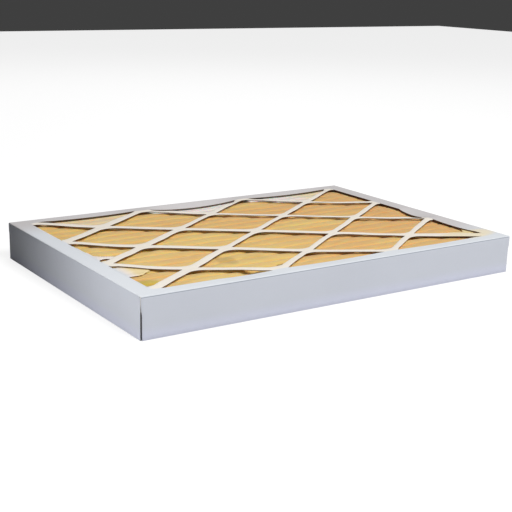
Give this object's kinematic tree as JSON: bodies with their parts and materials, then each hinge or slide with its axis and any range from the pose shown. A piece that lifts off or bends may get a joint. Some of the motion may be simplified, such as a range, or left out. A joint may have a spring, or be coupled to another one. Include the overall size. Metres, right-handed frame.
{
  "type": "pleated panel air filter",
  "caption": "Flat rectangular pleated air filter: folded media in a nested board frame whose two faces are cut into a diagonal diamond lattice.",
  "frame": {"origin": "middle of the exit face's rectangle, on the plane that rests on the rack", "axes": "+X along the long side, +Y along the short side, +Z through the depth from the exit face to the entry face"},
  "size_m": [0.495, 0.343, 0.0445],
  "materials": {
    "entry_board": "coated beverage board, matt white with a grey cast",
    "exit_board": "coated beverage board, matt white",
    "media": "non-woven cotton and polyester, golden, soft",
    "wire": "galvanised, dull",
    "adhesive": "dried adhesive, cream"
  },
  "bodies": {
    "root": {"entry_tray": "entry_board", "exit_tray": "exit_board", "pleated_media": "media", "wire_grid": "wire", "left_end_seal": "adhesive", "right_end_seal": "adhesive", "front_side_seal": "adhesive", "back_side_seal": "adhesive"}
  },
  "joints": []
}
